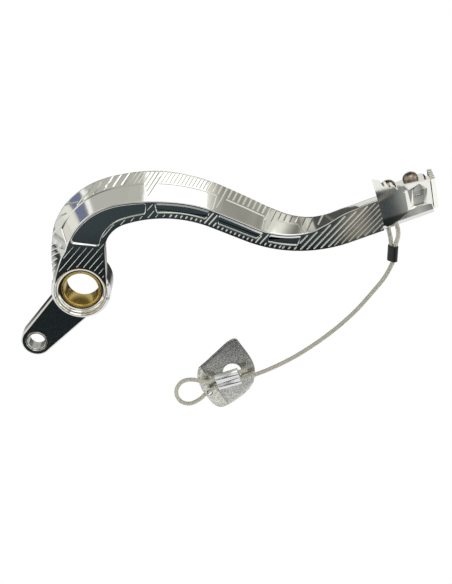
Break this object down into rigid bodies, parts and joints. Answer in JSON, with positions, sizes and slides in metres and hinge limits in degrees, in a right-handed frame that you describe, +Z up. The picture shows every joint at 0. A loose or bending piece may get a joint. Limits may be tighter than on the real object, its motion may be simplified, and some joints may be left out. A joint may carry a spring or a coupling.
{
  "type": "rear brake pedal",
  "caption": "Swan-neck rear brake pedal for a motorbike with a bushed pivot hub, pushrod lug, bolted toe tip and a wire safety cable with frame tab.",
  "frame": {"origin": "on the pivot axis, halfway across the width of the hub", "axes": "+X forward to the toe tip, +Z up, +Y inboard along the pivot, so the machined side faces -Y"},
  "size_m": [0.2893, 0.0358, 0.1866],
  "materials": {
    "polished_alloy": "polished forged aluminium, machined grooves",
    "bush_brass": "machined bearing bronze",
    "sleeve_steel": "turned steel",
    "tip_alloy": "polished cast aluminium",
    "screw_steel": "stainless button head",
    "coated_wire": "stranded steel wire in a clear coat",
    "ferrule_alloy": "drawn aluminium",
    "shrink_sleeve": "shrunk black tube",
    "tab_steel": "tumbled stainless sheet"
  },
  "bodies": {
    "root": {"pedal_arm": "polished_alloy", "pivot_bush": "bush_brass", "pushrod_sleeve": "sleeve_steel", "toe_tip": "tip_alloy", "tip_screw_rear": "screw_steel", "tip_screw_front": "screw_steel", "safety_cable": "coated_wire", "tip_ferrule": "ferrule_alloy", "tip_sleeve": "shrink_sleeve", "tab_ferrule": "ferrule_alloy", "frame_tab": "tab_steel"}
  },
  "joints": []
}
